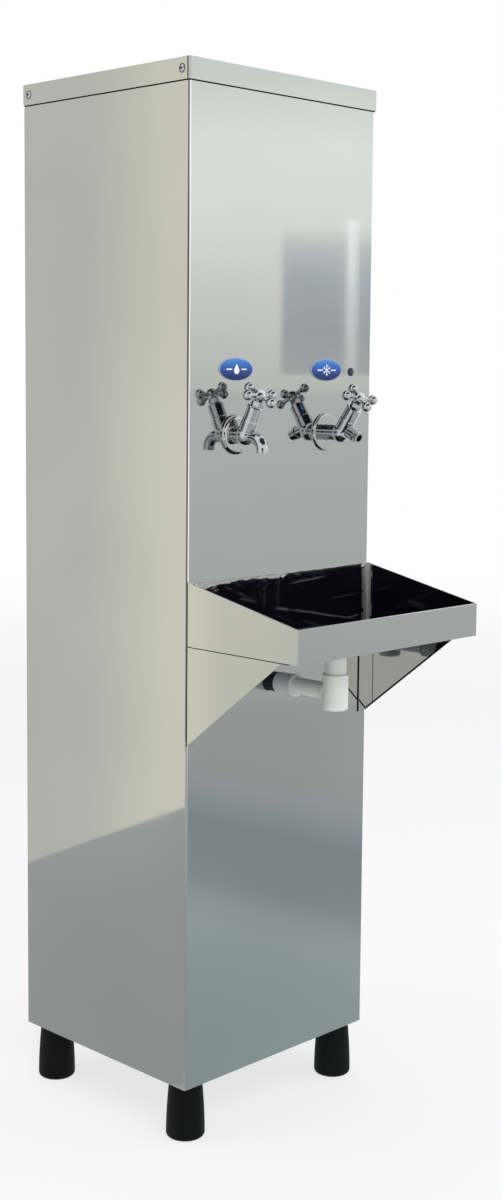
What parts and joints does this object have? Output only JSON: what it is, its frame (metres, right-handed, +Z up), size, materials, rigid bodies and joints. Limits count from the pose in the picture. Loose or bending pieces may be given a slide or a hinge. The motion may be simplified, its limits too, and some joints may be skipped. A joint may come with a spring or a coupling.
{
  "type": "industrial water cooler",
  "caption": "Free-standing stainless column water cooler with cross-handle taps, oval labels, a projecting drip tray on triangular brackets, a plastic drain and tapered black feet.",
  "frame": {"origin": "on the floor, midway between the outermost front, rear and sides", "axes": "+Z up, -Y out of the front panel with the taps, +X to the right of someone facing the front"},
  "size_m": [0.3382, 0.52, 1.32],
  "materials": {
    "stainless": "bright annealed, semi-mirror",
    "chrome": "polished",
    "black_plastic": "satin black",
    "black_film": "glossy wrinkled film",
    "white_pvc": "smooth moulded",
    "grey_pvc": "smooth moulded",
    "rubber": "matt",
    "brass": "machined",
    "copper": null,
    "label_blue": "domed resin",
    "lamp_blue": "dark blue lens",
    "tank_plastic": "moulded",
    "foam": "rigid foam",
    "black_steel": "gloss black enamel",
    "aluminium": "bare fins",
    "cap_plastic": "pale button",
    "float_plastic": "orange moulded float"
  },
  "bodies": {
    "cabinet": {"cabinet_wrap": "stainless", "rear_cover": "stainless", "base_pan": "stainless", "tank_shelf": "stainless", "lid": "stainless", "cover_screws": "chrome", "foot_front_left": "black_plastic", "foot_front_right": "black_plastic", "foot_rear_left": "black_plastic", "foot_rear_right": "black_plastic", "foot_bolts": "chrome", "drip_tray": "stainless", "tray_film": "black_film", "left_bracket": "stainless", "right_bracket": "stainless", "drain_strainer": "stainless", "drain_nut": "white_pvc", "drain_tailpipe": "white_pvc", "drain_tee": "white_pvc", "drain_coupling": "grey_pvc", "drain_seal": "rubber", "drain_pipe": "white_pvc", "tap_back_nuts": "brass", "ambient_label": "label_blue", "chilled_label": "label_blue", "pilot_lamp": "lamp_blue", "water_tank": "tank_plastic", "tank_lid": "foam", "tank_insulation": "foam", "cooling_coil": "stainless", "refrigerant_lines": "copper", "float_valve": "brass", "inlet_nipple": "brass", "ambient_feed_pipe": "copper", "chilled_feed_pipe": "copper", "compressor": "black_steel", "compressor_mounts": "rubber", "condenser": "aluminium", "fan_motor": "black_steel", "thermostat": "tank_plastic", "cord_gland": "black_plastic", "left_tap_body": "chrome", "left_tap_flange": "chrome", "left_tap_bonnet": "chrome", "left_tap_gland_nut": "chrome", "right_tap_body": "chrome", "right_tap_flange": "chrome", "right_tap_bonnet": "chrome", "right_tap_gland_nut": "chrome"},
    "left_handle": {"left_tap_spindle": "brass", "left_tap_handle": "chrome", "left_tap_handle_cap": "cap_plastic"},
    "left_valve": {"left_tap_valve": "rubber"},
    "right_handle": {"right_tap_spindle": "brass", "right_tap_handle": "chrome", "right_tap_handle_cap": "cap_plastic"},
    "right_valve": {"right_tap_valve": "rubber"},
    "float": {"float_arm": "float_plastic"},
    "fan": {"fan_blade": "black_plastic"},
    "thermostat_dial": {"thermostat_knob": "black_plastic"}
  },
  "joints": [
    {"name": "left_spindle_rise", "type": "slide", "parent": "cabinet", "child": "left_valve", "axis": [0, -0.4384, 0.8988], "range_m": [0, 0.00263]},
    {"name": "left_handle_turn", "type": "hinge", "parent": "left_valve", "child": "left_handle", "pos_m": [-0.086, -0.096, 0.88], "axis": [0, -0.4384, 0.8988], "range_deg": [0, 540]},
    {"name": "right_spindle_rise", "type": "slide", "parent": "cabinet", "child": "right_valve", "axis": [0, -0.5592, 0.829], "range_m": [0, 0.00263]},
    {"name": "right_handle_turn", "type": "hinge", "parent": "right_valve", "child": "right_handle", "pos_m": [0.077, -0.106, 0.88], "axis": [0, -0.5592, 0.829], "range_deg": [0, 540]},
    {"name": "float_swing", "type": "hinge", "parent": "cabinet", "child": "float", "pos_m": [-0.086, 0.1482, 1.2338], "axis": [1, 0, 0], "range_deg": [-30, 0]},
    {"name": "fan_spin", "type": "hinge", "parent": "cabinet", "child": "fan", "pos_m": [0.085, 0.13, 0.1492], "axis": [0, 1, 0], "continuous": true},
    {"name": "thermostat_turn", "type": "hinge", "parent": "cabinet", "child": "thermostat_dial", "pos_m": [0.092, 0.232, 0.62], "axis": [0, 1, 0], "range_deg": [0, 270]}
  ],
  "couplings": [
    {"joint": "left_handle_turn", "follows": "left_spindle_rise", "rad_per_m": 3590.4},
    {"joint": "right_handle_turn", "follows": "right_spindle_rise", "rad_per_m": 3590.4}
  ]
}
